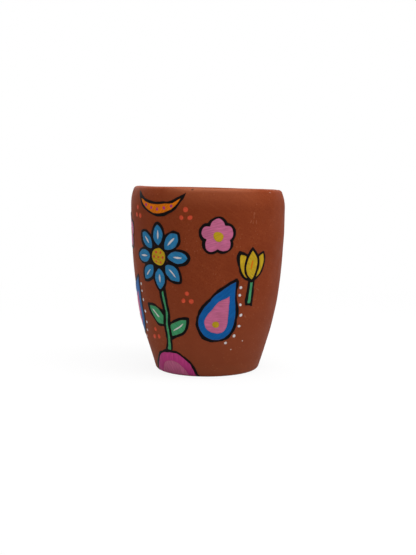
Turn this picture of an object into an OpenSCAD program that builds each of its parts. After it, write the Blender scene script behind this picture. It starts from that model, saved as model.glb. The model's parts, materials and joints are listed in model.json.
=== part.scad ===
// A hand-painted clay kulhad: a handleless terracotta tea cup with a painted frieze of flowers.
// Millimetres, +Z up. The origin is the centre of the foot, on the table.
// An azimuth is measured about Z from the front of the cup (-Y), positive towards +X.

/* [Cup] */
// Height from the table to the top of the lip
cup_h = 95; // [80:1:112]
// Outside diameter at the belly, the widest ring
belly_d = 80.5; // [72:0.5:92]
// Depth of the belly below the top of the lip
belly_drop = 9.5; // [7:0.5:14]
// Radius of the curve that tucks in from the belly to the lip
shoulder_r = 22.5; // [16:0.5:45]
// Height at which the long belly curve turns into the tighter hip curve
hip_h = 36; // [28:0.5:44]
// Height at which the hip curve runs out into the straight lower wall
cone_h = 17; // [14.5:0.5:24]
// Share of the lower wall's lean that the belly curve has at the hip
hip_share = 0.49; // [0.3:0.01:0.7]
// Diameter of the flat foot
foot_d = 50.4; // [42:0.2:58]
// Rounding of the foot's outer edge
foot_edge_r = 2.3; // [1.2:0.1:4]
// Thickness of the clay wall
wall = 4.2; // [3:0.1:6]
// Thickness of the clay floor
floor_t = 5.5; // [3.5:0.1:8]
// Rounding between the floor and the wall inside
well_r = 9; // [5:0.5:12]

/* [Paint coats] */
// Thickness of a first coat of colour
coat = 0.2; // [0.1:0.05:0.4]
// Thickness of a second coat, over a first one
second_coat = 0.15; // [0.1:0.05:0.4]
// Thickness of the black brush line
line_coat = 0.3; // [0.1:0.05:0.5]
// Width of the black brush line
line_w = 1.1; // [0.6:0.1:1.6]

/* [Frieze] */
// Azimuth of the first column of the frieze
frieze_azimuth = 7; // [-20:1:20]
// Angle from one column to the next
column_step = 45; // [42:1:48]
// Angle from the frieze's end columns to the tulips that close it
tulip_step = 27; // [25:1:32]

/* [Blooms] */
// Depth of a bloom's centre below the top of the lip
bloom_drop = 34; // [32:0.5:38]
// Number of petals of a bloom
bloom_petals = 8; // [6:1:9]
// Radius of a bloom's heart
heart_r = 4.4; // [3.5:0.1:5]
// Length of a bloom's petal
petal_len = 10.6; // [8:0.2:12]
// Width of a bloom's petal
petal_w = 6.4; // [4:0.1:7]
// Radius of the dots on a heart
heart_dot_r = 0.65; // [0.4:0.05:0.7]
// Distance of the ring of dots inside the edge of a heart
heart_dot_inset = 1.625; // [1.2:0.025:2]
// Number of dots round a heart
heart_dots = 6; // [4:1:7]
// Length of the pale stroke on a petal
stroke_len = 5.4; // [3:0.2:6.4]
// Width of the pale stroke on a petal
stroke_w = 1; // [0.6:0.1:1.6]

/* [Stems and leaves] */
// Width of a stem
stem_w = 1.8; // [1.2:0.1:2.6]
// Sideways bow of a stem
stem_bow = 2.2; // [1:0.1:4]
// Length of a leaf
leaf_len = 15; // [11:0.5:17]
// Width of a leaf
leaf_w = 6.2; // [4:0.1:7.5]
// Angle of a leaf above the horizontal
leaf_tilt = 38; // [25:1:50]
// Height of the lower leaf's root, as a share of the bare stem
leaf_h = 0.236; // [0.18:0.002:0.3]
// Rise from the lower leaf to the upper one, as a share of the bare stem
leaf_rise = 0.192; // [0.1:0.002:0.26]
// Width of the pale rib on a leaf
rib_w = 0.8; // [0.5:0.05:1.2]
// Distance of the pale rib from the ends of a leaf
rib_inset = 1.8; // [1.2:0.1:2.6]

/* [Paisleys] */
// Height of the bottom of a paisley's space: the paisley stands midway between there and its blossom
paisley_h = 7.5; // [4:0.5:14]
// Length of a paisley, from its round end to its tip
paisley_len = 30; // [24:0.5:32]
// Width of a paisley
paisley_w = 18.5; // [15:0.5:20]
// Sideways bend of a paisley's tip
paisley_bend = 10; // [4:0.5:12]
// Border of blue left round the paisley's core
paisley_border = 3.4; // [2.5:0.1:4.5]
// Radius of the eye in a paisley's core
eye_r = 1.7; // [1:0.1:2.2]
// Gap between a paisley's black line and the dots round it
trail_gap = 0.9; // [0.5:0.1:1.4]
// Radius of the dots round a paisley
trail_dot_r = 0.75; // [0.5:0.05:1]

/* [Blossoms] */
// Depth of a blossom's centre below the top of the lip
blossom_drop = 23; // [20:0.5:26]
// Radius of a blossom's round petal
blossom_petal_r = 3.7; // [2.8:0.1:4.2]
// Distance of a blossom's petals from its centre
blossom_ring_r = 4.7; // [4:0.1:5.4]
// Radius of a blossom's heart
blossom_heart_r = 2.5; // [1.6:0.1:3]

/* [Tulips] */
// Height of a tulip's root above the middle of the paisley beside it
tulip_h = 15; // [10:0.5:20]
// Length of a tulip's petal
tulip_len = 15; // [11:0.5:18]
// Width of a tulip's petal
tulip_w = 6.6; // [5:0.1:8]
// Angle between a tulip's middle petal and its side ones
tulip_spread = 27; // [20:1:34]
// Length of a tulip's stem
tulip_stem = 12; // [8:0.5:15]

/* [Swags] */
// Depth of a swag's hooks below the top of the lip
swag_drop = 5; // [4.5:0.1:6.5]
// Width of a swag between its hooks
swag_w = 26; // [22:0.5:28]
// Depth of a swag's lower edge below its hooks
swag_sag = 8; // [7:0.1:9]
// Thickness of a swag at its middle
swag_t = 4.5; // [3.5:0.1:5.5]
// Radius of the beads on a swag
bead_r = 0.8; // [0.5:0.05:1]

/* [Half-moons and dots] */
// Radius of the half-moons that stand on the foot
moon_r = 12.5; // [9:0.5:14]
// Width of a half-moon's outer ring of colour
moon_ring = 4.6; // [3:0.1:6]
// Radius of the filler dots
dot_r = 1.15; // [0.8:0.05:1.5]
// Distance of the dots of a group from its middle
dot_ring_r = 2.4; // [1.9:0.1:3]
// Depth of the upper row of dot groups below the top of the lip
upper_dots_drop = 13; // [9:0.5:17]
// Height of the dot groups beside the paisleys above the middles of these
lower_dots_h = 6; // [2:0.5:10]
// Distance of these dot groups from the middle of the paisley, seen from between the two
lower_dots_side = 15.4; // [15:0.1:16.5]
// Distance of the dot groups beside the stems from the middle of the bloom's column
stem_dots_side = 7.5; // [6:0.1:9]
// Height of these dot groups, as a share of the bare stem
stem_dots_share = 0.24; // [0.18:0.01:0.3]

/* [Hidden] */
$fn = 96;
lens_fn = 480;              // a lens is a short piece of two large circles, so these are finer
wall_steps = 8;             // straight steps in each long curve of the wall
round_steps = 12;           // straight steps in the lip, the foot's edge and the rounding inside
paint_low_angle = 50;       // paint reaches this far round the foot's edge, so it stays off the table
clay = [0.49, 0.22, 0.13];
orange = [0.74, 0.40, 0.05];
red = [0.74, 0.27, 0.18];
magenta = [0.56, 0.19, 0.38];
pink = [0.72, 0.38, 0.52];
sky_blue = [0.15, 0.45, 0.62];
royal_blue = [0.07, 0.32, 0.57];
mustard = [0.68, 0.56, 0.11];
green = [0.22, 0.52, 0.32];
white = [0.80, 0.81, 0.82];
black = [0.05, 0.05, 0.05];

// The wall leans more and more from the belly (upright) to the lower wall. Each stretch of the outline falls
// inwards by its height times the tangent of its mean lean, and all of them together reach the foot.
belly_h = cup_h - belly_drop;
function fall(lean) =
    (belly_h - hip_h) * tan(hip_share * lean / 2)
    + (hip_h - cone_h) * tan((1 + hip_share) * lean / 2)
    + (cone_h - foot_edge_r * (1 - sin(lean))) * tan(lean)
    + foot_edge_r * cos(lean);
function solve_lean(low, high, steps) =
    let (middle = (low + high) / 2)
    steps == 0 ? middle
    : fall(middle) > (belly_d - foot_d) / 2 ? solve_lean(low, middle, steps - 1)
    : solve_lean(middle, high, steps - 1);
steepest_lean = 60;
lean_halvings = 30;
lean = solve_lean(0, steepest_lean, lean_halvings);
hip_lean = hip_share * lean;

// The outline's curves are arcs that meet without a corner: their centres and radii follow from the lean.
function along(angle) = [cos(angle), sin(angle)];
belly_r = (belly_h - hip_h) / sin(hip_lean);
hip_r = (hip_h - cone_h) / (sin(lean) - sin(hip_lean));
shoulder_centre = [belly_d / 2 - shoulder_r, belly_h];
belly_centre = [belly_d / 2 - belly_r, belly_h];
hip_centre = belly_centre + (belly_r - hip_r) * along(-hip_lean);
foot_edge_centre = [foot_d / 2, foot_edge_r];
lip_r = wall / 2;
lip_angle = asin((belly_drop - lip_r) / (shoulder_r - lip_r));
lip_centre = shoulder_centre + (shoulder_r - lip_r) * along(lip_angle);

// The rounding inside touches the floor and the lower wall. It is limited so that some straight wall is left.
straight_left = 0.5;
lower_wall_reach = foot_edge_centre * along(-lean) + foot_edge_r - wall;
well_limit = (cone_h + wall * sin(lean) - floor_t) / (1 - sin(lean)) - straight_left;
well_fillet_r = min(well_r, well_limit);
well_centre_h = floor_t + well_fillet_r;
well_centre = [(lower_wall_reach - well_fillet_r + sin(lean) * well_centre_h) / cos(lean), well_centre_h];

function arc(centre, radius, from, to, steps) =
    [for (i = [0:steps]) centre + radius * along(from + (to - from) * i / steps)];
function later(points) = [for (i = [1:len(points) - 1]) points[i]];
function backwards(points) = [for (i = [len(points) - 1:-1:0]) points[i]];

// The wall from the lower wall's top to the lip, at a distance outside the clay's outer surface.
function wall_line(distance) = concat(
    arc(hip_centre, hip_r + distance, -lean, -hip_lean, wall_steps),
    later(arc(belly_centre, belly_r + distance, -hip_lean, 0, wall_steps)),
    later(arc(shoulder_centre, shoulder_r + distance, 0, lip_angle, wall_steps)));
function foot_line(distance, from) = arc(foot_edge_centre, foot_edge_r + distance, from, -lean, round_steps);
function painted_line(distance) = concat(foot_line(distance, -paint_low_angle), wall_line(distance));

function column(i) = frieze_azimuth - i * column_step;
first_column = 0;
last_column = 4;
paisley_columns = [first_column, 2, last_column];
daisy_column = 1;
marigold_column = 3;
bloom_columns = [daisy_column, marigold_column];
tulip_azimuths = [column(first_column) + tulip_step, column(last_column) - tulip_step];

// The fired clay: wall, lip, floor and foot are one piece.
module clay_cup() {
    well_line = concat(arc(well_centre, well_fillet_r, -90, -lean, round_steps), wall_line(-wall));
    color(clay) rotate_extrude() polygon(concat(
        [[0, 0]],
        foot_line(0, -90),
        wall_line(0),
        later(arc(lip_centre, lip_r, lip_angle, lip_angle + 180, round_steps)),
        later(backwards(well_line)),
        [[0, floor_t]]));
}

// A film of paint on the clay, in the outline of its children as seen from the front at that azimuth.
module film(azimuth, thickness, under = 0) {
    intersection() {
        rotate_extrude() polygon(concat(painted_line(under), backwards(painted_line(under + thickness))));
        rotate([90, 0, azimuth]) linear_extrude(belly_d) children();
    }
}

// A lens with two pointed ends, from the origin along +X. Grown, it is that much wider all round.
module lens(length, width, grow = 0) {
    radius = (length * length + width * width) / (4 * width);
    intersection_for (side = [-1, 1])
        translate([length / 2, side * (radius - width / 2)]) circle(radius + grow, $fn = lens_fn);
}

// Blooms: a ring of pointed petals round a heart. One petal points straight down, onto the stem.
bloom_h = cup_h - bloom_drop;
petal_root_r = heart_r + line_w;

module heart(grow = 0) { circle(heart_r + grow); }

module on_each_petal() {
    for (i = [0:bloom_petals - 1])
        rotate(-90 + i * 360 / bloom_petals) translate([petal_root_r, 0]) children();
}

module petals(grow = 0) { on_each_petal() lens(petal_len, petal_w, grow); }

module bloom_mask() {
    petals(line_w);
    heart(line_w);
}

module bloom_petals_at(i, thickness) {
    film(column(i), thickness) translate([0, bloom_h]) difference() {
        petals();
        heart(line_w);
    }
}

module daisy_petals() { color(sky_blue) bloom_petals_at(daisy_column, coat); }

module marigold_petals() { color(orange) bloom_petals_at(marigold_column, coat); }

module petal_strokes() {
    color(white) for (i = bloom_columns)
        film(column(i), second_coat, coat) translate([0, bloom_h])
            on_each_petal() translate([(petal_len - stroke_len) / 2, 0]) lens(stroke_len, stroke_w);
}

module bloom_hearts() {
    color(mustard) for (i = bloom_columns)
        film(column(i), coat) translate([0, bloom_h]) heart();
}

module bloom_heart_dots() {
    color(red) for (i = bloom_columns)
        film(column(i), second_coat, coat) translate([0, bloom_h]) {
            circle(heart_dot_r);
            for (k = [0:heart_dots - 1])
                rotate(k * 360 / heart_dots) translate([heart_r - heart_dot_inset, 0]) circle(heart_dot_r);
        }
}

module bloom_outlines() {
    color(black) for (i = bloom_columns)
        film(column(i), line_coat) translate([0, bloom_h]) difference() {
            bloom_mask();
            petals();
            heart();
        }
}

// A stem bows to the right on its way up from a half-moon to the middle of a bloom's lowest petal.
stem_low = moon_r + line_w;
stem_high = bloom_h - petal_root_r - petal_len / 2;
stem_middle = (stem_low + stem_high) / 2;
bare_stem = bloom_h - petal_root_r - petal_len - stem_low;
stem_radius = (pow((stem_high - stem_low) / 2, 2) + stem_bow * stem_bow) / (2 * stem_bow);

module stem(grow = 0) {
    reach = stem_w + line_w;
    intersection() {
        translate([stem_bow - stem_radius, stem_middle]) difference() {
            circle(stem_radius + stem_w / 2 + grow);
            circle(stem_radius - stem_w / 2 - grow);
        }
        translate([-reach, stem_low]) square([stem_bow + 2 * reach, stem_high - stem_low]);
    }
}

// The stem's middle line at a height.
function stem_x(height) =
    stem_bow - stem_radius + sqrt(pow(stem_radius, 2) - pow(height - stem_middle, 2));

module on_each_leaf() {
    for (side = [0, 1]) {
        root_h = stem_low + (leaf_h + side * leaf_rise) * bare_stem;
        translate([stem_x(root_h), root_h]) mirror([side, 0]) rotate(leaf_tilt) children();
    }
}

module leaf_pair(grow = 0) { on_each_leaf() lens(leaf_len, leaf_w, grow); }

module stems() {
    color(green) for (i = bloom_columns)
        film(column(i), coat) difference() {
            stem();
            translate([0, bloom_h]) bloom_mask();
        }
}

module leaves() {
    color(green) for (i = bloom_columns)
        film(column(i), coat) difference() {
            leaf_pair();
            stem(line_w);
        }
}

// A rib runs along the open part of a leaf, clear of the stem's black line.
leaf_hidden = (stem_w / 2 + line_w) / cos(leaf_tilt);

module leaf_ribs() {
    color(white) for (i = bloom_columns)
        film(column(i), second_coat, coat) on_each_leaf()
            translate([leaf_hidden + rib_inset, 0]) lens(leaf_len - leaf_hidden - 2 * rib_inset, rib_w);
}

module leaf_outlines() {
    color(black) for (i = bloom_columns)
        film(column(i), line_coat) difference() {
            union() {
                leaf_pair(line_w);
                stem(line_w);
            }
            difference() {
                leaf_pair();
                stem(line_w);
            }
            stem();
            translate([0, bloom_h]) bloom_mask();
        }
}

// A paisley stands midway between the bottom of its space and the blossom above it.
blossom_h = cup_h - blossom_drop;
blossom_low = blossom_h - blossom_ring_r - blossom_petal_r - line_w;
paisley_middle = (paisley_h + blossom_low) / 2;

// A paisley is a teardrop with its tip bent aside. The angle runs from its round end, by its tip, and back.
drop_fullness = 1.3; // makes the teardrop's widest place as wide as it says
function paisley_point(t, length, width, bend) = [
    width / 2 * drop_fullness * sin(t) * abs(cos(t / 2)) + bend * pow((1 - cos(t)) / 2, 3),
    -length / 2 * cos(t)];
function paisley_edge(t, length, width, bend, grow) =
    let (
        step = paisley_point(t + 1, length, width, bend) - paisley_point(t - 1, length, width, bend),
        outwards = [step.y, -step.x] / norm(step))
    paisley_point(t, length, width, bend) + grow * outwards;

paisley_steps = 48;
module paisley(grow = 0) {
    polygon([for (k = [0:paisley_steps - 1])
        paisley_edge(k * 360 / paisley_steps, paisley_len, paisley_w, paisley_bend, grow)]);
}

// The core stands in the round end, with the same border of blue below it and beside it.
core_w = paisley_w - 2 * paisley_border;
core_len = paisley_len * core_w / paisley_w;
core_h = paisley_border - (paisley_len - core_len) / 2;
eye_h = core_h - core_len / 4;

module core() {
    translate([0, core_h]) polygon([for (k = [0:paisley_steps - 1])
        paisley_edge(k * 360 / paisley_steps, core_len, core_w, paisley_bend * core_w / paisley_w, 0)]);
}

module on_each_paisley() {
    for (i = paisley_columns)
        film(column(i), $thickness, $under) translate([0, paisley_middle]) children();
}

module paisley_bodies() {
    $thickness = coat;
    $under = 0;
    color(royal_blue) on_each_paisley() paisley();
}

module paisley_cores() {
    $thickness = second_coat;
    $under = coat;
    color(pink) on_each_paisley() core();
}

module paisley_eyes() {
    $thickness = second_coat;
    $under = coat + second_coat;
    color(mustard) on_each_paisley() translate([0, eye_h]) circle(eye_r);
}

module paisley_outlines() {
    $thickness = line_coat;
    $under = 0;
    color(black) on_each_paisley() difference() {
        paisley(line_w);
        paisley();
    }
}

// Dots follow the paisley's back, from under its round end to below its tip.
trail_angles = [20:20:140];
module paisley_dot_trails() {
    $thickness = coat;
    $under = 0;
    clear = line_w + trail_gap + trail_dot_r;
    color(white) on_each_paisley() for (t = trail_angles)
        translate(paisley_edge(t, paisley_len, paisley_w, paisley_bend, clear)) circle(trail_dot_r);
}

// Blossoms: five round petals and a heart over them.
blossom_petal_count = 5;
module blossom(grow = 0) {
    circle(blossom_ring_r);
    for (i = [0:blossom_petal_count - 1])
        rotate(90 + i * 360 / blossom_petal_count) translate([blossom_ring_r, 0]) circle(blossom_petal_r + grow);
}

module on_each_blossom() {
    for (i = paisley_columns)
        film(column(i), $thickness, $under) translate([0, blossom_h]) children();
}

module blossom_petals() {
    $thickness = coat;
    $under = 0;
    color(pink) on_each_blossom() blossom();
}

module blossom_hearts() {
    $thickness = second_coat;
    $under = coat;
    color(mustard) on_each_blossom() circle(blossom_heart_r);
}

module blossom_outlines() {
    $thickness = line_coat;
    $under = 0;
    color(black) on_each_blossom() difference() {
        blossom(line_w);
        blossom();
    }
}

// Tulips: a middle petal in front of two side petals.
module tulip_middle(grow = 0) { rotate(90) lens(tulip_len, tulip_w, grow); }

module tulip_sides(grow = 0) {
    for (side = [-1, 1])
        rotate(90 + side * tulip_spread) lens(tulip_len, tulip_w, grow);
}

module tulip_fill() {
    tulip_middle();
    difference() {
        tulip_sides();
        tulip_middle(line_w);
    }
}

module on_each_tulip() {
    for (azimuth = tulip_azimuths)
        film(azimuth, $thickness, $under) translate([0, paisley_middle + tulip_h]) children();
}

module tulip_mask() {
    tulip_middle(line_w);
    tulip_sides(line_w);
}

// The stem starts inside the flower, so it meets the flower's black line over its whole width. Grown, it is that
// much larger at its sides and at its lower end.
module tulip_stalk(grow = 0) {
    translate([-stem_w / 2 - grow, -tulip_stem - grow])
        square([stem_w + 2 * grow, tulip_stem + grow + tulip_w / 2]);
}

module tulip_petals() {
    $thickness = coat;
    $under = 0;
    color(mustard) on_each_tulip() tulip_fill();
}

module tulip_strokes() {
    $thickness = second_coat;
    $under = coat;
    color(orange) on_each_tulip()
        rotate(90) translate([(tulip_len - stroke_len) / 2, 0]) lens(stroke_len, stroke_w);
}

module tulip_stems() {
    $thickness = coat;
    $under = 0;
    color(green) on_each_tulip() difference() {
        tulip_stalk();
        tulip_mask();
    }
}

module tulip_outlines() {
    $thickness = line_coat;
    $under = 0;
    color(black) on_each_tulip() difference() {
        union() {
            tulip_mask();
            tulip_stalk(line_w);
        }
        tulip_fill();
        difference() {
            tulip_stalk();
            tulip_mask();
        }
    }
}

// Swags: crescents that hang above the blooms. Each edge is an arc through both hooks.
function sag_radius(sag) = (swag_w * swag_w / 4 + sag * sag) / (2 * sag);
swag_low_r = sag_radius(swag_sag);
swag_high_r = sag_radius(swag_sag - swag_t);

module swag(grow = 0) {
    difference() {
        translate([0, swag_low_r - swag_sag]) circle(swag_low_r + grow);
        translate([0, swag_high_r - swag_sag + swag_t]) circle(swag_high_r - grow, $fn = lens_fn);
    }
}

module on_each_swag() {
    for (i = bloom_columns)
        film(column(i), $thickness, $under) translate([0, cup_h - swag_drop]) children();
}

module swags() {
    $thickness = coat;
    $under = 0;
    color(orange) on_each_swag() swag();
}

// Beads lie along the middle of a swag.
bead_sag = swag_sag - swag_t / 2;
bead_step = 14;
bead_count = 5;
module swag_beads() {
    $thickness = second_coat;
    $under = coat;
    first = -90 - (bead_count - 1) / 2 * bead_step;
    color(magenta) on_each_swag() translate([0, sag_radius(bead_sag) - bead_sag])
        for (k = [0:bead_count - 1])
            rotate(first + k * bead_step) translate([sag_radius(bead_sag), 0]) circle(bead_r);
}

module swag_outlines() {
    $thickness = line_coat;
    $under = 0;
    color(black) on_each_swag() difference() {
        swag(line_w);
        swag();
    }
}

// Half-moons stand on the foot below the blooms.
module moon_film(thickness, under = 0) {
    for (i = bloom_columns)
        film(column(i), thickness, under) children();
}

module foot_moon_rings() {
    color(magenta) moon_film(coat) difference() {
        circle(moon_r);
        circle(moon_r - moon_ring);
    }
}

module foot_moon_cores() { color(pink) moon_film(coat) circle(moon_r - moon_ring); }

module foot_moon_outlines() {
    color(black) moon_film(line_coat) difference() {
        circle(moon_r + line_w);
        circle(moon_r);
    }
}

// Groups of three dots fill the spaces between the columns: midway at the top, beside the plain side of a paisley,
// and low down beside a stem. Each place is a group's azimuth and its middle as seen from there.
lower_dots_turn = asin(lower_dots_side / (belly_d / 2));
stem_dots_h = stem_low + stem_dots_share * bare_stem;
dots_places = concat(
    [for (i = [first_column:last_column - 1]) [column(i + 0.5), [0, cup_h - upper_dots_drop]]],
    [for (i = bloom_columns) [column(i - 1) - lower_dots_turn, [0, paisley_middle + lower_dots_h]]],
    [for (i = bloom_columns) [column(i), [-stem_dots_side, stem_dots_h]]]);
dots_in_group = 3;

module filler_dots() {
    color(red) for (place = dots_places)
        film(place[0], coat) translate(place[1]) for (k = [0:dots_in_group - 1])
            rotate(90 + k * 360 / dots_in_group) translate([dot_ring_r, 0]) circle(dot_r);
}

clay_cup();
daisy_petals();
marigold_petals();
petal_strokes();
bloom_hearts();
bloom_heart_dots();
bloom_outlines();
stems();
leaves();
leaf_ribs();
leaf_outlines();
paisley_bodies();
paisley_cores();
paisley_eyes();
paisley_dot_trails();
paisley_outlines();
blossom_petals();
blossom_hearts();
blossom_outlines();
tulip_petals();
tulip_strokes();
tulip_stems();
tulip_outlines();
swags();
swag_beads();
swag_outlines();
foot_moon_rings();
foot_moon_cores();
foot_moon_outlines();
filler_dots();
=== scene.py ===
import json
import math

import bpy
import numpy as np
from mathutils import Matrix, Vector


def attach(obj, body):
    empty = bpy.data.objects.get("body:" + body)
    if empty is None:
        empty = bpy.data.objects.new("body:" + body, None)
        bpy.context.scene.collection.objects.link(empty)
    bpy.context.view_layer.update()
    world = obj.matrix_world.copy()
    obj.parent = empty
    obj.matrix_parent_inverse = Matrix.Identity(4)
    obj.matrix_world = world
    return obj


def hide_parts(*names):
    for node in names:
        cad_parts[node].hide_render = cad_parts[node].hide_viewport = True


# Looks of a hand-painted clay cup. The clay is rebuilt from the CAD outline with the marks of its making, and
# every film of paint from its CAD outline with the edges and the thickness that a brush leaves.
# Lengths are in mm, and are multiplied by MM where Blender wants metres. An azimuth is in degrees about Z,
# from the front (-Y) towards +X. A place on the outside is (azimuth, run), where run is the length along the
# outline.

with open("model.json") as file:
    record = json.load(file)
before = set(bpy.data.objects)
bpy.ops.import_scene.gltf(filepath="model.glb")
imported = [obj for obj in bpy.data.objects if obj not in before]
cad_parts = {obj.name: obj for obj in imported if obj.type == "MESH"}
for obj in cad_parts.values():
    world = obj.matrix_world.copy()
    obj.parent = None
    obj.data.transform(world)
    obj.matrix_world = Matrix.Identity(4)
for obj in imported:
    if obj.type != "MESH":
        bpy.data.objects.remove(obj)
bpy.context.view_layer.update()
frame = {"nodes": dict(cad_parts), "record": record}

MM = 0.001
SEED = 20
rng = np.random.default_rng(SEED)

# Camera, where the photograph was taken from
CAMERA_PLACE = (0.5, -488.6, 98.5)
CAMERA_PITCH = 5.92         # degrees below the horizon
CAMERA_LENS = 60.31
CAMERA_SENSOR = 36

# Light: place, width and power of each lamp, and the strength of the light from all sides
LAMPS = {
    "key": ((350, -150, 650), 420, 2.7),
    "top": ((40, -40, 700), 420, 2.75),
    "front": ((120, -330, 650), 420, 1.25),
    "back": ((-350, 450, 420), 520, 1.2),
    "left": ((-600, 80, 350), 520, 0.4),
}
LAMP_AIM = (0, 0, 50)
WORLD_LIGHT = 0.15

# Floor
FLOOR_SIZE = 8000
FLOOR_COLOUR = (0.85, 0.85, 0.85, 1)
FLOOR_ROUGHNESS = 0.9
FLOOR_WHITE = 0.9           # share of the white that the floor near the cup has without light, as seen
FLOOR_FADE = (110, 420)     # distances from the cup's axis over which that share goes to all of it
WHITE = (1, 1, 1, 1)

# Colours as they look, from 0 to 255
CLAY = (126, 55, 28)
CLAY_DARK = (117, 49, 24)
# painted reflection of the white floor, on the clay near the foot
CLAY_LIGHT = (135, 62, 33)
CLAY_FLOOR_REFLECTION = (127, 62, 38)
# dark specks, and the painted shade in the pit in the lip
CLAY_PIT = (46, 22, 15)
# bare clay inside and underneath, and also the painted bounce light on the foot's edge and the painted
# highlight on the lip
CLAY_BARE_AND_PAINTED_LIGHT = (150, 84, 56)
# dust, light grain and scratches, and also the painted highlight on the lip's very edge
CLAY_DUST_AND_HIGHLIGHT = (176, 112, 82)
SPECK_WHITE = (214, 206, 198)
PAINTS = {
    "orange_paint": (216, 112, 14),
    "red_paint": (205, 76, 50),
    "magenta_paint": (180, 58, 122),
    "pink_paint": (188, 98, 134),
    "sky_blue_paint": (42, 117, 163),
    "royal_blue_paint": (14, 86, 152),
    "mustard_paint": (184, 151, 30),
    "green_paint": (62, 143, 96),
    "white_paint": (212, 211, 211),
    "black_paint": (11, 10, 11),
}
BRIGHTEST = 255

# Points of the clay
OUTLINE_STEP = 0.9          # spacing of the clay's rings
FINE_STEP = 0.1             # spacing of the points of the outline that places are measured on
AROUND = 288                # points round a ring
LEAST_RING = 0.3            # radius below which there is no ring round the middle of the floor
SAME_RING = 0.02            # rings of the CAD mesh that lie nearer than this are one
AXIS_REACH = 1              # rings of the CAD mesh within this radius are the middles of foot and floor
SHARP_ANGLE = 50            # degrees: a sharper turn between two faces shows as an edge

# Shape of the hand-made cup
RIM_SLOPE = 1.53            # degrees: the lip is higher on the left
SLOPE_START = 0.3           # share of the height where that slope starts
AXIS_LEAN = 0.36            # degrees: the cup leans to the right
SWELL = 0.13                # unevenness of the outside over the width of a hand
SWELL_LENGTHS = (28, 70)
TURNS = 0.035               # and over the width of a finger
TURN_LENGTHS = (9, 20)
FOOT_FADE = 8               # run over which the unevenness starts at the foot's edge
INSIDE_FADE = (-1, 4)       # runs past the lip's top over which the outside gives way to the inside
RIDGE_PITCH = 5.6           # spacing of the throwing ridges inside
RIDGE_DEPTH = 0.13
RIDGE_START = 14            # run past the lip's top over which the ridges start
RIDGE_STOP = 8              # height above the floor over which they end
RIDGE_DRIFT = 0.5           # how far a whole ridge strays from its height, as a share of the pitch
RIDGE_WAVE = 0.1            # and how far it goes up and down
RIDGE_DRIFT_LENGTHS = (30, 60)
SPIRAL_FADE = 3             # distance over which the spiral on the floor starts and ends
WIRE_PITCH = 2.4            # spacing of the marks of the cutting wire, under the foot
WIRE_DEPTH = 0.14
WIRE_SINK = 1.2             # how far the cut face lies above the CAD face, as a multiple of that depth
WIRE_FADE = 3               # distance from the foot's edge over which they start
WIRE_CENTRE = (-70.0, 25.0)
PIT_RUN = 1.2               # distance of the pits in the lip from its top
PITS = ((-11.6, 1, 0.6), (64, 0.6, 0.25), (131, 0.8, 0.3), (-118, 0.7, 0.3))  # azimuth, radius and depth

# Parts of the clay's surface
UNDERSIDE = -1
WALL = 0
FLOOR_INSIDE = 1

# Marks on the clay: azimuth, height and radius of specks, and azimuth, height, length and tilt of scratches
WHITE_SPECKS = ((32.4, 18.8, 0.4), (21.9, 14.7, 0.35), (52.3, 93.6, 0.28), (88.0, 61.0, 0.3),
                (117.0, 30.0, 0.4))
# the first dark speck sits on the pit in the lip: painted shade in that hollow
DARK_SPECKS = ((-11.6, 94.6, 1.0), (71.0, 44.0, 0.4), (142.0, 70.0, 0.5))
SPECK_SHARE = 0.85          # how much of the clay's colour a speck hides
SPECK_CORE = 0.5            # share of its radius over which it hides that much
SCRATCHES = ((34.0, 82.4, 2.9, 88), (31.5, 79.2, 1.4, 70), (33.5, 79.0, 1.4, 88), (36.3, 79.0, 1.4, 92),
             (31.9, 31.5, 1.8, -35), (41.6, 44.9, 1.8, -35), (84.0, 52.0, 3.0, -30), (121.0, 66.0, 2.5, 110))
SCRATCH_WIDTH = 0.45
SCRATCH_SHARE = 0.3
SCRATCH_WANDER = 1.4        # how far a scratch strays from its straight line
SCRATCH_WANDER_SCALE = 900
MEAN_NOISE = (0.5, 0.5, 0.5)  # mean colour of the noise that it strays with

# Layers of the clay's colour. A scale says how fine a pattern is, per metre. A span gives the values of the
# pattern between which a layer comes up, and a share says how strong it is.
CLOUD_SCALE = 60            # mottling from the fire
CLOUD_SPAN = (0.36, 0.66)
CLAY_EVENNESS = 0.55        # how far the mottling is evened out
WIPE_SCALES = (40, 40, 420)  # level streaks, where the turning cup was wiped
WIPE_SPAN = (0.45, 0.75)
WIPE_SHARE = 0.22
RUB_TILT = 35               # degrees below the level: the direction in which the dry clay was rubbed smooth
RUB_SCALES = (60, 300, 900)
RUB_SPAN = (0.5, 0.72)
RUB_SHARE = 0.6
GRAIN_SCALE = 1500
GRAIN_SPAN = (0.46, 0.66)
GRAIN_SHARE = 0.95
LIGHT_GRAIN_SCALE = 620
LIGHT_GRAIN_RADII = (0.08, 0.2)
LIGHT_GRAIN_SPAN = (0.42, 0.6)
LIGHT_GRAIN_SHARE = 0.38
PORE_SCALE = 330
PORE_RADII = (0.06, 0.16)
PORE_PATCH_SCALE = 110
PORE_PATCH_SPAN = (0.52, 0.62)
PORE_SHARE = 0.5
BARE_SPAN = (0.4, 0.65)     # mottling of the clay that has no sealer
BARE_SHARE = 0.6
FOOT_FLOOR_REFLECTION = 0.9             # strength of the painted reflection of the white floor on the clay near the foot
FOOT_REFLECTION_HEIGHTS = (5, 50)  # it is full below the first height and gone above the second
FOOT_BOUNCE_LIGHT = 0.4              # how far the foot's edge is painted paler: painted bounce light from the floor
FOOT_BOUNCE_HEIGHT = 7
LIP_HIGHLIGHT = 0.26              # how far the lip is painted paler: a painted highlight
LIP_HIGHLIGHT_DROPS = (11, 3)     # depths below the lip where that starts and where it is full
LIP_EDGE_HIGHLIGHT = 0.25         # and how far the lip's very edge, a thin painted highlight
LIP_EDGE_DROPS = (2.2, 0.6)
LIP_HIGHLIGHT_AZIMUTH = 4         # the side facing the camera, where the painted highlight on the lip is strongest
LIP_HIGHLIGHT_SPREAD = (36, 10)   # degrees from there where the painted highlight starts and where it is full

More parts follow.
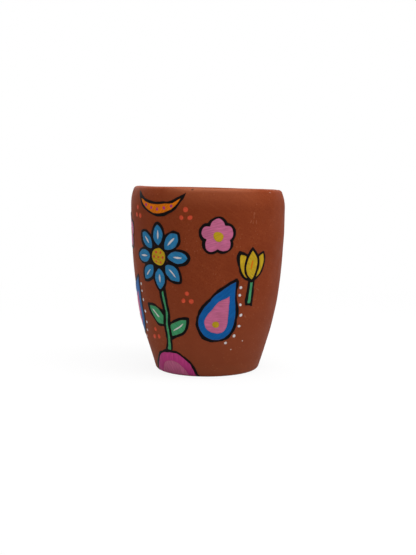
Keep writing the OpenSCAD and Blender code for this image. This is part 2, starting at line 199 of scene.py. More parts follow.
# Gloss and fine relief of the clay
SHEEN = 0.035               # specular level of the sealed clay and of the paint
SEAL_SCALE = 150
SEAL_SPAN = (0.3, 0.7)
SEAL_ROUGHNESS = (0.5, 0.64)
BARE_ROUGHNESS = 0.3        # how much rougher the clay is without the sealer
GRAIN_RELIEF = 0.6
WIPE_RELIEF = 0.7
PORE_RELIEF = 1.2
CLAY_BUMP = (0.5, 0.08)     # strength and depth

# How the brush works
FRIEZE_SEAM = 100           # azimuth on the bare side of the cup, where the frieze is cut open
FILM_STEP = 0.4             # spacing of the points of a film
FILM_FIRST_RUN = 0.2        # a film starts this far up from the foot's flat
EDGE_WOBBLE = 0.24          # how far an unsteady hand moves an outline
EDGE_WOBBLE_LENGTHS = (8, 16)
EDGE_NOISE = 0.09           # how far single bristles stray from an edge
EDGE_NOISE_LENGTHS = (2.5, 7)
FILL_GROWTH = 0.15          # colour runs this far under its black line
FREE_DOTS = ("filler_dots", "paisley_dot_trails")  # these have no black line
LINE_PAINT = "black_paint"
LINE_GROWTH = 0.13          # a black line spreads this far to both sides
LINE_NOISE = 0.15           # how far the pressure of the brush changes that
LINE_NOISE_LENGTHS = (6, 18)
EDGE_HEIGHT = 0.03          # height of a film at its edge
LINE_EDGE_HEIGHT = 0.22     # and of a black line, which lies on the edges of the colours
EDGE_REACH = 0.5            # distance over which a film rises to its height
SINK = 0.06                 # depth of a film's underside in what it lies on
COAT_SHARE = 0.6            # height of the films as a share of the CAD films', which are thick for soundness
FOOT_RUN_OUT = 3            # run over which a film starts at the foot's edge, where the cup stands

# Looks of the paint, with scales per mm
BRUSH_FIELD = 500           # width of the streaky pattern from which each patch takes a place of its own
STREAK_SCALES = (0.16, 2.2, 1.0)  # along the stroke, across it
STREAK_SPAN = (0.3, 0.7)
STREAK_DARK = 0.86          # the paint's colour is multiplied by this between the streaks
STREAK_LIGHT = 1.1          # and by this on them
STREAK_LIFT = 4             # and lifted by this, so that black shows them too
BLOTCH_SCALE = 0.16
BLOTCH_SPAN = (0.35, 0.7)
BLOTCH_SHARE = 0.35
BLOTCH_DARK = 0.84
SEE_THROUGH = 0.45          # how much clay shows through the edge of a colour
LINE_SEE_THROUGH = 0.1      # and of a black line
SEE_THROUGH_SPAN = (0.35, 0.65)
PAINT_ROUGHNESS = (0.36, 0.52)
PAINT_ROUGHNESS_SPAN = (0.2, 0.8)
PAINT_BUMP = (0.35, 0.06)   # strength and depth

# For the arithmetic
WAVES = 28                  # waves that make up an unevenness
TINY = 1e-12                # in place of a length of zero, to divide by
SPOTS_AT_ONCE = 2000        # spots that are measured in one go, so that they fit in memory
MERGE_DIGITS = 3            # CAD points that agree to this many digits are one


# Camera

def make_camera():
    data = bpy.data.cameras.new("camera")
    data.lens = CAMERA_LENS
    data.sensor_width = CAMERA_SENSOR
    camera = bpy.data.objects.new("camera", data)
    camera.location = [MM * c for c in CAMERA_PLACE]
    camera.rotation_euler = (math.radians(90 - CAMERA_PITCH), 0, 0)
    bpy.context.scene.collection.objects.link(camera)
    bpy.context.scene.camera = camera


# The CAD solids as points and triangles

def welded(node):
    """A CAD node's points, with the double ones merged, and its triangles."""
    mesh = frame["nodes"][node].data
    points = np.empty(3 * len(mesh.vertices), np.float32)
    mesh.vertices.foreach_get("co", points)
    points = points.reshape(-1, 3) / MM
    mesh.calc_loop_triangles()
    corners = np.empty(3 * len(mesh.loop_triangles), np.int32)
    mesh.loop_triangles.foreach_get("vertices", corners)
    rounded = np.round(points, MERGE_DIGITS)
    _, first, merged = np.unique(rounded, axis=0, return_index=True, return_inverse=True)
    return points[first].astype(float), merged.ravel()[corners].reshape(-1, 3)


def edges_of(triangles):
    return triangles[:, [0, 1, 1, 2, 2, 0]].reshape(-1, 2)


def border_of(triangles):
    """The edges that only one triangle has, in that triangle's direction."""
    edges = edges_of(triangles)
    _, which, count = np.unique(np.sort(edges, axis=1), axis=0, return_inverse=True, return_counts=True)
    return edges[count[which.ravel()] == 1]


def groups_of(edges, size):
    """A number for each of the points, the same for all points that edges join."""
    group = np.arange(size)
    while True:
        least = np.minimum(group[edges[:, 0]], group[edges[:, 1]])
        joined = group.copy()
        np.minimum.at(joined, edges[:, 0], least)
        np.minimum.at(joined, edges[:, 1], least)
        if (joined == group).all():
            return group
        group = joined


# The cup's outline

def outline_corners():
    """The (radius, height) corners of the CAD outline, from the foot's edge over the lip to the floor."""
    points, triangles = welded("clay_cup")
    profile = np.column_stack((np.hypot(points[:, 0], points[:, 1]), points[:, 2]))
    rings, ring = np.unique(np.round(profile, MERGE_DIGITS), axis=0, return_inverse=True)
    same = np.linalg.norm(rings[:, None] - rings[None], axis=2) < SAME_RING
    ring = same.argmax(axis=1)[ring.ravel()]
    beside = {}
    for a, b in np.unique(ring[edges_of(triangles)], axis=0):
        if a != b and min(rings[a][0], rings[b][0]) > AXIS_REACH:
            beside.setdefault(a, set()).add(b)
            beside.setdefault(b, set()).add(a)
    ends = [a for a in beside if len(beside[a]) == 1]
    chain = [min(ends, key=lambda a: rings[a][1])]
    while beside[chain[-1]] - set(chain):
        chain.append((beside[chain[-1]] - set(chain)).pop())
    return rings[chain]


def smooth_line(corners, step):
    """A smooth curve through the corners that starts and ends level, as points about a step apart."""
    lengths = np.linalg.norm(np.diff(corners, axis=0), axis=1)
    slopes = np.vstack(([[1, 0]], corners[2:] - corners[:-2], [[-1, 0]]))
    slopes = slopes / np.linalg.norm(slopes, axis=1)[:, None]
    line = [corners[:1]]
    for i, length in enumerate(lengths):
        t = np.arange(1, math.ceil(length / step) + 1)[:, None] / math.ceil(length / step)
        line.append((2 * t**3 - 3 * t**2 + 1) * corners[i] + (t**3 - 2 * t**2 + t) * length * slopes[i]
                    + (3 * t**2 - 2 * t**3) * corners[i + 1] + (t**3 - t**2) * length * slopes[i + 1])
    return np.vstack(line)


def runs_of(line):
    return np.concatenate(([0], np.cumsum(np.linalg.norm(np.diff(line, axis=0), axis=1))))


def normals_of(line):
    """Normals on the right-hand side of a line, which is the outside of the cup."""
    along = np.gradient(line, axis=0)
    along = along / np.linalg.norm(along, axis=1)[:, None]
    return np.column_stack((along[:, 1], -along[:, 0]))


corners = outline_corners()
fine_line = smooth_line(corners, FINE_STEP)
fine_runs = runs_of(fine_line)
fine_normals = normals_of(fine_line)
top = fine_line[:, 1].argmax()
lip_radius, cup_height = fine_line[top]
lip_run = fine_runs[top]
foot_radius = corners[0, 0]
floor_radius, floor_height = corners[-1]
belly_radius = fine_line[:, 0].max()


# Seeded unevenness, which closes up round the cup

def unevenness(lengths):
    """A function of (azimuth, run) with values of about -1 to 1 and wavelengths between these two lengths."""
    length = rng.uniform(*lengths, WAVES)
    turn = rng.uniform(0, math.pi, WAVES)
    phase = rng.uniform(0, 2 * math.pi, WAVES)
    round_cup = np.round(belly_radius * 2 * math.pi / length * np.cos(turn))
    along_run = 2 * math.pi / length * np.sin(turn)

    def value(azimuth, run):
        angles = np.radians(azimuth)[..., None] * round_cup + np.asarray(run)[..., None] * along_run + phase
        return np.cos(angles).sum(axis=-1) / math.sqrt(WAVES)

    return value


slow_swell = unevenness(SWELL_LENGTHS)
hand_turns = unevenness(TURN_LENGTHS)
ridge_drift = unevenness(RIDGE_DRIFT_LENGTHS)
wobble_round = unevenness(EDGE_WOBBLE_LENGTHS)
wobble_along = unevenness(EDGE_WOBBLE_LENGTHS)


def smoothstep(low, high, value):
    """0 up to the low value, 1 from the high one on, and a smooth rise between them."""
    t = np.clip((value - low) / (high - low), 0, 1)
    return t * t * (3 - 2 * t)


def outside_relief(azimuth, run):
    """How far the outside stands out from the CAD outline: uneven above the foot's edge, which is flat."""
    uneven = SWELL * slow_swell(azimuth, run) + TURNS * hand_turns(azimuth, run)
    return uneven * smoothstep(0, FOOT_FADE, run)


def set_by_hand(points):
    """Leans the cup and slopes its rim, as it came off the wheel."""
    up = points[..., 2] / cup_height
    slope = math.tan(math.radians(RIM_SLOPE)) * smoothstep(SLOPE_START, 1.0, up)
    lean = math.tan(math.radians(AXIS_LEAN))
    out = points.copy()
    out[..., 0] += lean * points[..., 2]
    out[..., 2] -= slope * points[..., 0]
    return out


def around(azimuth, radius, height):
    """The points at these azimuths, radii and heights."""
    turn = np.radians(azimuth)
    return np.stack(np.broadcast_arrays(radius * np.sin(turn), -radius * np.cos(turn), height), axis=-1)


def outside(azimuth, run, offset):
    """Points at an offset from the clay's outside."""
    offset = offset + outside_relief(azimuth, run)
    out, up = (np.interp(run, fine_runs, normal) for normal in fine_normals.T)
    radius, height = (np.interp(run, fine_runs, place) for place in fine_line.T)
    return set_by_hand(around(azimuth, radius + offset * out, height + offset * up))


# Meshes

def add_piece(name, points, faces, node, slot, attribute, values, brush=None):
    """A piece of the object, from points in mm, which stands for a CAD node."""
    mesh = bpy.data.meshes.new(name)
    mesh.from_pydata(np.asarray(points) * MM, [], faces)
    mesh.validate()
    mesh.attributes.new(attribute, "FLOAT", "POINT").data.foreach_set("value", values.astype(np.float32))
    if brush is not None:
        corners_at = np.empty(len(mesh.loops), np.int32)
        mesh.loops.foreach_get("vertex_index", corners_at)
        mesh.uv_layers.new(name="brush").data.foreach_set("uv", brush[corners_at].astype(np.float32).ravel())
    mesh.shade_smooth()
    mesh.set_sharp_from_angle(angle=math.radians(SHARP_ANGLE))
    mesh.materials.append(materials[slot])
    piece = bpy.data.objects.new(name, mesh)
    bpy.context.scene.collection.objects.link(piece)
    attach(piece, "root")
    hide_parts(node)


# The clay

def clay_rings():
    """The outline of the clay from the middle of the foot to the middle of the floor: a point for each ring,
    its normal, its run, and the part of the surface that it belongs to."""
    wall = smooth_line(corners, OUTLINE_STEP)
    under_radii = np.arange(OUTLINE_STEP, foot_radius - OUTLINE_STEP / 2, OUTLINE_STEP)
    floor_radii = np.arange(floor_radius - OUTLINE_STEP, LEAST_RING, -OUTLINE_STEP)
    under = [(radius, 0.0) for radius in under_radii]
    floor = [(radius, floor_height) for radius in floor_radii]
    line = np.vstack((under, wall, floor))
    zone = np.repeat((UNDERSIDE, WALL, FLOOR_INSIDE), (len(under), len(wall), len(floor)))
    return line, normals_of(line), runs_of(line) - foot_radius + OUTLINE_STEP, zone


def clay_relief(azimuth, line, run, zone):
    """How far the clay stands out from the CAD outline, and how bare it is of the sealer."""
    rings = (line[:, 0], line[:, 1], run, zone)
    azimuth, radius, height, run, zone = np.broadcast_arrays(azimuth, *(values[:, None] for values in rings))
    past_lip = run - lip_run
    inside = smoothstep(*INSIDE_FADE, past_lip)
    relief = outside_relief(azimuth, run) * (1 - inside) * (zone >= WALL)

    drift = RIDGE_DRIFT * ridge_drift(np.zeros_like(azimuth), run) + RIDGE_WAVE * ridge_drift(azimuth, run)
    ridges = height / RIDGE_PITCH + azimuth / 360 + drift
    on_wall = inside * smoothstep(0, RIDGE_START, past_lip) * (zone == WALL)
    on_wall = on_wall * smoothstep(floor_height, floor_height + RIDGE_STOP, height)
    relief = relief + RIDGE_DEPTH * on_wall * np.cos(2 * math.pi * ridges)

    spiral = radius / RIDGE_PITCH - azimuth / 360
    on_floor = (zone == FLOOR_INSIDE) * smoothstep(0, SPIRAL_FADE, radius)
    on_floor = on_floor * smoothstep(floor_radius, floor_radius - SPIRAL_FADE, radius)
    relief = relief + RIDGE_DEPTH * on_floor * np.cos(2 * math.pi * spiral)

    spot = around(azimuth, radius, height)
    wire = np.hypot(spot[..., 0] - WIRE_CENTRE[0], spot[..., 1] - WIRE_CENTRE[1]) / WIRE_PITCH
    under = (zone == UNDERSIDE) * smoothstep(foot_radius, foot_radius - WIRE_FADE, radius)
    relief = relief - WIRE_DEPTH * under * (WIRE_SINK + np.cos(2 * math.pi * wire))

    for pit_azimuth, pit_radius, depth in PITS:
        turn = (azimuth - pit_azimuth + 180) % 360 - 180
        away = np.hypot(np.radians(turn) * radius, past_lip + PIT_RUN)
        relief = relief - depth * np.exp(-(away / pit_radius) ** 2)
    return relief, np.maximum(inside, zone != WALL)


def make_clay():
    line, normals, run, zone = clay_rings()
    azimuth = np.arange(AROUND)[None] * 360 / AROUND
    relief, bare = clay_relief(azimuth, line, run, zone)
    radius = line[:, 0][:, None] + relief * normals[:, 0][:, None]
    height = line[:, 1][:, None] + relief * normals[:, 1][:, None]
    grid = set_by_hand(around(azimuth, radius, height))
    ends = set_by_hand(np.array([[0, 0, grid[0, :, 2].mean()], [0, 0, grid[-1, :, 2].mean()]]))
    points = np.vstack((grid.reshape(-1, 3), ends))
    bare = np.concatenate((bare.ravel(), [1, 1]))

    here = np.arange(AROUND)
    beside = (here + 1) % AROUND
    last = (len(line) - 1) * AROUND
    faces = []
    for low in range(0, last, AROUND):
        high = low + AROUND
        faces += np.column_stack((low + here, low + beside, high + beside, high + here)).tolist()
    foot_middle = last + AROUND
    floor_middle = foot_middle + 1
    faces += [(foot_middle, b, a) for a, b in zip(here.tolist(), beside.tolist())]
    faces += [(floor_middle, last + a, last + b) for a, b in zip(here.tolist(), beside.tolist())]
    add_piece("cup_clay", points, faces, "clay_cup", "terracotta", "bare", bare)


# Films of paint

def on_outside(points):
    """(azimuth, run) of points near the outside, and their offset from it."""
    azimuth = np.degrees(np.arctan2(points[:, 0], -points[:, 1]))
    azimuth = np.where(azimuth > FRIEZE_SEAM, azimuth - 360, azimuth)
    profile = np.column_stack((np.hypot(points[:, 0], points[:, 1]), points[:, 2]))
    wall = fine_line[:top]
    nearest = np.array([((wall - p) ** 2).sum(axis=1).argmin() for p in profile])
    offset = ((profile - wall[nearest]) * fine_normals[nearest]).sum(axis=1)
    return np.column_stack((azimuth, fine_runs[nearest])), offset


def depth_inside(spots, starts, stops):
    """Signed distance of spots to an outline of straight pieces, positive inside it."""
    found = np.empty(len(spots))
    pieces = stops - starts
    square = np.maximum((pieces ** 2).sum(axis=1), TINY)
    rise = np.where(pieces[:, 1] == 0, TINY, pieces[:, 1])
    for first in range(0, len(spots), SPOTS_AT_ONCE):
        some = slice(first, first + SPOTS_AT_ONCE)
        spot = spots[some, None]
        share = np.clip(((spot - starts) * pieces).sum(axis=2) / square, 0, 1)
        away = np.linalg.norm(spot - starts - share[..., None] * pieces, axis=2).min(axis=1)
        level = (starts[:, 1] > spot[..., 1]) != (stops[:, 1] > spot[..., 1])
        beyond = starts[:, 0] + (spot[..., 1] - starts[:, 1]) / rise * pieces[:, 0] > spot[..., 0]
        found[some] = np.where((level & beyond).sum(axis=1) % 2 == 1, away, -away)
    return found


def grid_between(low, high, step):
    """A grid of triangles over a flat box: its points and its triangles, with the diagonals in turns."""
    xs = np.arange(low[0], high[0] + step, step)
    ys = np.arange(low[1], high[1] + step, step)
    spots = np.stack(np.meshgrid(xs, ys, indexing="ij"), axis=-1).reshape(-1, 2)
    i, j = np.meshgrid(np.arange(len(xs) - 1), np.arange(len(ys) - 1), indexing="ij")
    a = (i * len(ys) + j).ravel()
    b = a + len(ys)
    c = b + 1
    d = a + 1
    even = ((i + j) % 2 == 0).ravel()
    first = np.where(even[:, None], np.column_stack((a, b, c)), np.column_stack((a, b, d)))
    second = np.where(even[:, None], np.column_stack((a, c, d)), np.column_stack((b, c, d)))
    return spots, np.vstack((first, second))


def clipped(spots, triangles, depth):
    """The part of a triangle grid where depth is positive: its points, their depths, and its triangles."""
    kept = depth > 0
    count = kept[triangles].sum(axis=1)
    whole = triangles[count == 3]
    cut = triangles[(count == 1) | (count == 2)]
    odd = np.where(kept[cut].sum(axis=1) == 1, kept[cut].argmax(axis=1), kept[cut].argmin(axis=1))
    order = (odd[:, None] + np.arange(3)) % 3
    cut = np.take_along_axis(cut, order, axis=1)
    pairs = np.sort(np.vstack((cut[:, [0, 1]], cut[:, [0, 2]])), axis=1)
    pairs, which = np.unique(pairs, axis=0, return_inverse=True)
    share = depth[pairs[:, 0]] / (depth[pairs[:, 0]] - depth[pairs[:, 1]])
    crossings = spots[pairs[:, 0]] + share[:, None] * (spots[pairs[:, 1]] - spots[pairs[:, 0]])
    left, right = (len(spots) + which.ravel()).reshape(2, -1)
    tip = kept[cut[:, 0]]
    tips = np.column_stack((cut[:, 0], left, right))[tip]
    stumps = np.vstack((np.column_stack((left, cut[:, 1], cut[:, 2])),
                        np.column_stack((left, cut[:, 2], right))))
    stumps = stumps[np.concatenate((~tip, ~tip))]
    found = np.vstack((whole, tips, stumps))
    used, found = np.unique(found, return_inverse=True)
    points = np.vstack((spots, crossings))[used]
    depths = np.concatenate((depth, np.zeros(len(crossings))))[used]
    return points, depths, found.reshape(-1, 3)


def brushed_patch(starts, stops, growth, ragged):
    """One patch of paint as brushed by hand: its (azimuth, run) spots, depths, triangles and brush places."""
    radius = np.interp(np.vstack((starts, stops))[:, 1].mean(), fine_runs, fine_line[:, 0])
    scale = np.array([math.radians(radius), 1.0])
    starts = starts * scale
    stops = stops * scale
    margin = growth + 2 * (EDGE_WOBBLE + EDGE_NOISE + LINE_NOISE) + FILM_STEP
    low = np.minimum(starts, stops).min(axis=0) - margin
    high = np.maximum(starts, stops).max(axis=0) + margin
    low[1] = max(low[1], FILM_FIRST_RUN)
    spots, triangles = grid_between(low, high, FILM_STEP)
    azimuth, run = (spots / scale).T
    moved = spots + EDGE_WOBBLE * np.column_stack((wobble_round(azimuth, run), wobble_along(azimuth, run)))
    depth = depth_inside(moved, starts, stops) + growth + ragged(azimuth, run)
    spots, depth, triangles = clipped(spots, triangles, depth)
    turn = rng.uniform(0, math.pi)
    shift = rng.uniform(0, BRUSH_FIELD, 2)
    brush = spots @ np.array([[math.cos(turn), -math.sin(turn)], [math.sin(turn), math.cos(turn)]]) + shift
    return spots / scale, depth, triangles, brush


def shell_faces(patch, size):
    """Faces of a closed film: a patch of so many points, the same patch below it, and walls between them."""
    side = border_of(patch)
    walls = np.vstack((np.column_stack((side[:, 0], side[:, 0] + size, side[:, 1])),
                       np.column_stack((side[:, 1], side[:, 0] + size, side[:, 1] + size))))
    return np.vstack((patch, patch[:, ::-1] + size, walls))


def make_film(node, slot):
    """A film of paint in place of a CAD node: flat in the middle of its strokes, thin at their edges."""
    points, triangles = welded(node)
    places, offset = on_outside(points)
    base = offset.min()
    coat = offset.max() - base
    upper = triangles[(offset[triangles] > base + coat / 2).all(axis=1)]
    border = border_of(upper)
    group = groups_of(edges_of(upper), len(points))[border[:, 0]]
    is_line = slot == LINE_PAINT
    under_line = base < coat / 2 and node not in FREE_DOTS
    growth = LINE_GROWTH if is_line else FILL_GROWTH * under_line
    edge_height = LINE_EDGE_HEIGHT if is_line else EDGE_HEIGHT
    bristles = unevenness(EDGE_NOISE_LENGTHS)
    pressure = unevenness(LINE_NOISE_LENGTHS)

    def ragged(azimuth, run):
        uneven = EDGE_NOISE * bristles(azimuth, run)
        return uneven + LINE_NOISE * pressure(azimuth, run) if is_line else uneven

    all_points, all_faces, all_cover, all_brush = [], [], [], []
    count = 0
    for number in np.unique(group):
        edges = border[group == number]
        spots, depth, patch, brush = brushed_patch(places[edges[:, 0]], places[edges[:, 1]], growth, ragged)
        cover = smoothstep(0, EDGE_REACH, depth)
        azimuth, run = spots.T
        height = COAT_SHARE * smoothstep(0, FOOT_RUN_OUT, run)
        above = outside(azimuth, run, height * (base + edge_height + (coat - edge_height) * cover))
        below = outside(azimuth, run, height * base - SINK)
        all_points += [above, below]
        all_faces.append(shell_faces(patch, len(spots)) + count)
        all_cover += [cover, cover]
        all_brush += [brush, brush]
        count += 2 * len(spots)
    add_piece(node + "_film", np.vstack(all_points), np.vstack(all_faces).tolist(), node, slot,
              "cover", np.concatenate(all_cover), np.vstack(all_brush))


# Materials

def linear(colour):
    """A colour as it looks, from 0 to 255, as the light that a shader works with (the sRGB curve)."""
    c = np.array(colour) / BRIGHTEST
    return (*np.where(c <= 0.04045, c / 12.92, ((c + 0.055) / 1.055) ** 2.4), 1.0)


class Nodes:
    """The nodes of a material or of the world, with the few kinds that are needed here."""

    def __init__(self, owner):
        owner.use_nodes = True
        self.owner = owner
        self.tree = owner.node_tree

    def set(self, socket, value):
        if isinstance(value, bpy.types.NodeSocket):
            self.tree.links.new(value, socket)
        else:
            socket.default_value = value

    def dress(self, name, inputs):
        """Sets inputs of a node that the owner has from the start."""
        node = self.tree.nodes[name]
        for key, value in inputs.items():
            self.set(node.inputs[key], value)
        return node

    def add(self, kind, output=0, inputs=(), **settings):
        node = self.tree.nodes.new(kind)
        for key, value in settings.items():
            setattr(node, key, value)
        for key, value in dict(inputs).items():
            self.set(node.inputs[key], value)
        return node.outputs[output]

    def vector(self, operation, inputs, output=0):
        return self.add("ShaderNodeVectorMath", output, inputs, operation=operation)

    def noise(self, place, scale, detail=2.0, roughness=0.5, output="Fac"):
        inputs = {"Vector": place, "Scale": scale, "Detail": detail, "Roughness": roughness}
        return self.add("ShaderNodeTexNoise", output, inputs)

    def cells(self, place, scale):
        """Distance to the nearest of many scattered points."""
        return self.add("ShaderNodeTexVoronoi", "Distance", {"Vector": place, "Scale": scale})

    def stretch(self, place, scales):
        return self.vector("MULTIPLY", {0: place, 1: scales})

    def ramp(self, value, span, ends=(0.0, 1.0)):
        """A value that goes from the first end to the second while the given value goes through the span."""
        inputs = {"Value": value, "From Min": span[0], "From Max": span[1]}
        inputs.update({"To Min": ends[0], "To Max": ends[1]})
        return self.add("ShaderNodeMapRange", 0, inputs)

    def math(self, operation, a, b):
        return self.add("ShaderNodeMath", 0, {0: a, 1: b}, operation=operation)

    def mix(self, share, a, b):
        """A mix of two colours, which this node takes at 6 and 7 and gives at 2."""
        return self.add("ShaderNodeMix", 2, {0: share, 6: a, 7: b}, data_type="RGBA")

    def distance_to_line(self, place, start, stop):
        """Distance of a place to the straight line between two points."""
        along = np.subtract(stop, start)
        from_start = self.vector("SUBTRACT", {0: place, 1: start})
        share = self.vector("DOT_PRODUCT", {0: from_start, 1: tuple(along / (along @ along))}, "Value")
        share = self.ramp(share, (0.0, 1.0))
        foot = self.vector("SCALE", {0: tuple(along), "Scale": share})
        return self.vector("DISTANCE", {0: from_start, 1: foot}, "Value")

    def bump(self, height, strength, depth):
        inputs = {"Height": height, "Strength": strength, "Distance": depth * MM}
        return self.add("ShaderNodeBump", 0, inputs)


def clay_spot(azimuth, height):
    """A place on the clay's outside, in metres."""
    run = np.interp(height, fine_line[:top, 1], fine_runs[:top])
    return tuple(outside(np.array([azimuth]), np.array([run]), np.zeros(1))[0] * MM)


def clay_ground(n, place, cloud, grain, wiped):
    """Colour of the clay itself: mottled, wiped while it turned, rubbed smooth when dry, and fine-grained."""
    colour = n.mix(n.ramp(cloud, CLOUD_SPAN), linear(CLAY_DARK), linear(CLAY_LIGHT))
    colour = n.mix(CLAY_EVENNESS, colour, linear(CLAY))
    colour = n.mix(n.ramp(wiped, WIPE_SPAN, (0.0, WIPE_SHARE)), colour, linear(CLAY_LIGHT))
    turned = {"Vector": place, "Angle": math.radians(-RUB_TILT)}
    tilted = n.add("ShaderNodeVectorRotate", 0, turned, rotation_type="Y_AXIS")
    rubbed = n.noise(n.stretch(tilted, RUB_SCALES), 1.0)
    colour = n.mix(n.ramp(rubbed, RUB_SPAN, (0.0, RUB_SHARE)), colour, linear(CLAY_LIGHT))
    return n.mix(n.ramp(grain, GRAIN_SPAN, (0.0, GRAIN_SHARE)), colour, linear(CLAY_DARK))


def clay_painted_light(n, place, colour):
    """The colour with painted light: the white floor's painted reflection near the foot, painted bounce light
    on the foot's edge, and a painted highlight on the lip.
    """
    height = n.add("ShaderNodeSeparateXYZ", "Z", {0: place})
    # painted reflection of the white floor on the clay near the foot
    floor_reflection = n.ramp(height, [h * MM for h in FOOT_REFLECTION_HEIGHTS], (FOOT_FLOOR_REFLECTION, 0.0))
    colour = n.mix(floor_reflection, colour, linear(CLAY_FLOOR_REFLECTION))
    # painted bounce light: the foot's edge painted paler
    colour = n.mix(n.ramp(height, (0.0, FOOT_BOUNCE_HEIGHT * MM), (FOOT_BOUNCE_LIGHT, 0.0)), colour, linear(CLAY_BARE_AND_PAINTED_LIGHT))
    # painted highlight on the lip, strongest on the side facing the camera
    highlight_facing = tuple(around(LIP_HIGHLIGHT_AZIMUTH, 1.0, 0.0))
    towards = n.vector("DOT_PRODUCT", {0: place, 1: highlight_facing}, "Value")
    highlight_side = n.ramp(towards, [lip_radius * MM * math.cos(math.radians(turn)) for turn in LIP_HIGHLIGHT_SPREAD])
    lip_highlights = ((LIP_HIGHLIGHT, LIP_HIGHLIGHT_DROPS, CLAY_BARE_AND_PAINTED_LIGHT), (LIP_EDGE_HIGHLIGHT, LIP_EDGE_DROPS, CLAY_DUST_AND_HIGHLIGHT))
    for highlight_share, drops, shade in lip_highlights:
        near_lip = n.ramp(height, [(cup_height - drop) * MM for drop in drops], (0.0, highlight_share))
        colour = n.mix(n.math("MULTIPLY", near_lip, highlight_side), colour, linear(shade))
    return colour


def clay_marks(n, place, colour):
    """The colour with its specks and scratches, and the painted shade in the pit in the lip."""
    for specks, shade in ((WHITE_SPECKS, SPECK_WHITE), (DARK_SPECKS, CLAY_PIT)):
        for azimuth, height, radius in specks:
            away = n.vector("DISTANCE", {0: place, 1: clay_spot(azimuth, height)}, "Value")
            hidden = n.ramp(away, (SPECK_CORE * radius * MM, radius * MM), (SPECK_SHARE, 0.0))
            colour = n.mix(hidden, colour, linear(shade))
    shake = n.noise(place, SCRATCH_WANDER_SCALE, output="Color")
    shake = n.vector("SUBTRACT", {0: shake, 1: MEAN_NOISE})
    shake = n.vector("SCALE", {0: shake, "Scale": SCRATCH_WANDER * MM})
    crooked = n.vector("ADD", {0: place, 1: shake})
    for azimuth, height, length, tilt in SCRATCHES:
        rise = length / 2 * math.sin(math.radians(tilt))
        swing = math.degrees(length / 2 * math.cos(math.radians(tilt)) / belly_radius)
        low_end = clay_spot(azimuth - swing, height - rise)
        high_end = clay_spot(azimuth + swing, height + rise)
        away = n.distance_to_line(crooked, low_end, high_end)
        pale = n.ramp(away, (0.0, SCRATCH_WIDTH * MM), (SCRATCH_SHARE, 0.0))
        colour = n.mix(pale, colour, linear(CLAY_DUST_AND_HIGHLIGHT))
    return colour


def clay_material():
    """Fired clay, satin where it is sealed outside, bare and dusty inside and underneath."""
    n = Nodes(bpy.data.materials.new("terracotta"))
    place = n.add("ShaderNodeTexCoord", "Object")
    bare = n.add("ShaderNodeAttribute", "Fac", attribute_name="bare")
    cloud = n.noise(place, CLOUD_SCALE, detail=4.0, roughness=0.55)
    grain = n.noise(place, GRAIN_SCALE, detail=3.0, roughness=0.6)
    wiped = n.noise(n.stretch(place, WIPE_SCALES), 1.0, detail=3.0, roughness=0.6)
    colour = clay_ground(n, place, cloud, grain, wiped)
    # painted light: the floor's reflection near the foot, bounce light on its edge, a highlight on the lip
    colour = clay_painted_light(n, place, colour)
    dust = n.mix(n.ramp(cloud, BARE_SPAN), linear(CLAY_BARE_AND_PAINTED_LIGHT), linear(CLAY_DUST_AND_HIGHLIGHT))
    colour = n.mix(n.math("MULTIPLY", bare, BARE_SHARE), colour, dust)
    pore = n.ramp(n.cells(place, PORE_SCALE), PORE_RADII, (1.0, 0.0))
    pore = n.math("MULTIPLY", pore, n.ramp(n.noise(place, PORE_PATCH_SCALE), PORE_PATCH_SPAN))
    colour = n.mix(n.math("MULTIPLY", pore, PORE_SHARE), colour, linear(CLAY_DARK))
    light_grain = n.ramp(n.cells(place, LIGHT_GRAIN_SCALE), LIGHT_GRAIN_RADII, (LIGHT_GRAIN_SHARE, 0.0))
    light_grain = n.math("MULTIPLY", light_grain, n.ramp(cloud, LIGHT_GRAIN_SPAN))
    colour = n.mix(light_grain, colour, linear(CLAY_DUST_AND_HIGHLIGHT))
    colour = clay_marks(n, place, colour)
    sealed = n.ramp(n.noise(place, SEAL_SCALE, detail=3.0), SEAL_SPAN, SEAL_ROUGHNESS)
    roughness = n.math("ADD", sealed, n.math("MULTIPLY", bare, BARE_ROUGHNESS))
    relief = n.math("ADD", n.math("MULTIPLY", grain, GRAIN_RELIEF), n.math("MULTIPLY", wiped, WIPE_RELIEF))
    relief = n.math("SUBTRACT", relief, n.math("MULTIPLY", pore, PORE_RELIEF))
    n.dress("Principled BSDF", {"Base Color": colour, "Roughness": roughness, "Specular IOR Level": SHEEN,
                                "Normal": n.bump(relief, *CLAY_BUMP)})
    return n.owner


def paint_material(slot, colour):
    """Brushed paint: streaks along the stroke, a little clay through the thin edges, a satin face."""
    n = Nodes(bpy.data.materials.new(slot))
    place = n.add("ShaderNodeUVMap", 0, uv_map="brush")
    cover = n.add("ShaderNodeAttribute", "Fac", attribute_name="cover")
    base = np.array(colour)
    dark = linear(base * STREAK_DARK)
    light = linear(np.minimum(base * STREAK_LIGHT + STREAK_LIFT, BRIGHTEST))
    streak = n.noise(n.stretch(place, STREAK_SCALES), 1.0, detail=3.0, roughness=0.6)
    blotch = n.noise(place, BLOTCH_SCALE)
    shade = n.mix(n.ramp(streak, STREAK_SPAN), dark, light)
    shade = n.mix(n.ramp(blotch, BLOTCH_SPAN, (0.0, BLOTCH_SHARE)), shade, linear(base * BLOTCH_DARK))
    see_through = LINE_SEE_THROUGH if slot == LINE_PAINT else SEE_THROUGH
    thin = n.math("MULTIPLY", n.ramp(cover, (0.0, 1.0), (see_through, 0.0)), n.ramp(streak, SEE_THROUGH_SPAN))
    shade = n.mix(thin, shade, linear(CLAY))
    roughness = n.ramp(streak, PAINT_ROUGHNESS_SPAN, PAINT_ROUGHNESS)
    n.dress("Principled BSDF", {"Base Color": shade, "Roughness": roughness, "Specular IOR Level": SHEEN,
                                "Normal": n.bump(streak, *PAINT_BUMP)})
    return n.owner


# Floor and light

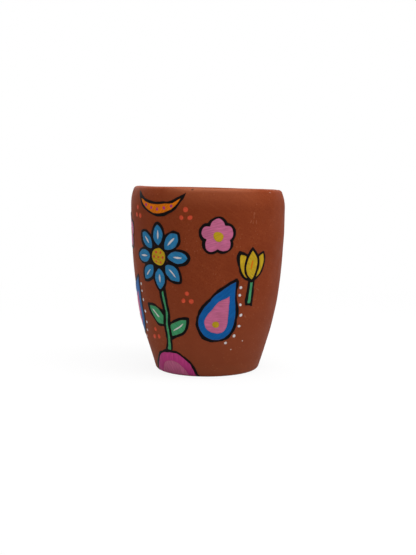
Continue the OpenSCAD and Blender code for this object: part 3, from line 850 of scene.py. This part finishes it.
def add_lamp(name, place, width, power):
    data = bpy.data.lights.new(name, "AREA")
    data.shape = "DISK"
    data.size = width * MM
    data.energy = power
    lamp = bpy.data.objects.new(name, data)
    lamp.location = [MM * c for c in place]
    away = Vector([p - a for p, a in zip(place, LAMP_AIM)])
    lamp.rotation_euler = away.to_track_quat("Z", "Y").to_euler()
    bpy.context.scene.collection.objects.link(lamp)


def seen(n):
    """1 on the rays that show the background: from the camera, in a gloss or through glass."""
    path = n.add("ShaderNodeLightPath").node
    glossy = n.math("MAXIMUM", path.outputs["Is Glossy Ray"], path.outputs["Is Transmission Ray"])
    return n.math("MAXIMUM", path.outputs["Is Camera Ray"], glossy)


def make_floor():
    half = FLOOR_SIZE / 2 * MM
    mesh = bpy.data.meshes.new("floor")
    square = [(-half, -half, 0), (half, -half, 0), (half, half, 0), (-half, half, 0)]
    mesh.from_pydata(square, [], [(0, 1, 2, 3)])
    n = Nodes(bpy.data.materials.new("floor"))
    lit = n.dress("Principled BSDF", {"Base Color": FLOOR_COLOUR, "Roughness": FLOOR_ROUGHNESS,
                                      "Specular IOR Level": 0.0})
    white = n.add("ShaderNodeEmission", 0, {"Color": WHITE, "Strength": 1.0})
    away = n.vector("LENGTH", {0: n.add("ShaderNodeTexCoord", "Object")}, "Value")
    fade = n.ramp(away, [distance * MM for distance in FLOOR_FADE], (FLOOR_WHITE, 1.0))
    share = n.math("MULTIPLY", seen(n), fade)
    surface = n.add("ShaderNodeMixShader", 0, {0: share, 1: lit.outputs[0], 2: white})
    n.dress("Material Output", {"Surface": surface})
    mesh.materials.append(n.owner)
    floor = bpy.data.objects.new("floor", mesh)
    bpy.context.scene.collection.objects.link(floor)


def make_world():
    n = Nodes(bpy.data.worlds.new("studio"))
    n.dress("Background", {"Color": WHITE, "Strength": n.ramp(seen(n), (0.0, 1.0), (WORLD_LIGHT, 1.0))})
    bpy.context.scene.world = n.owner


# Putting it together

make_camera()
materials = {"terracotta": clay_material()}
for slot, colour in PAINTS.items():
    materials[slot] = paint_material(slot, colour)
make_clay()
for part in frame["record"]["subparts"]:
    if part["node"] != "clay_cup":
        make_film(part["node"], part["material_slot"])
make_floor()
make_world()
for name, lamp in LAMPS.items():
    add_lamp(name, *lamp)

bpy.context.scene.view_settings.view_transform = "Standard"
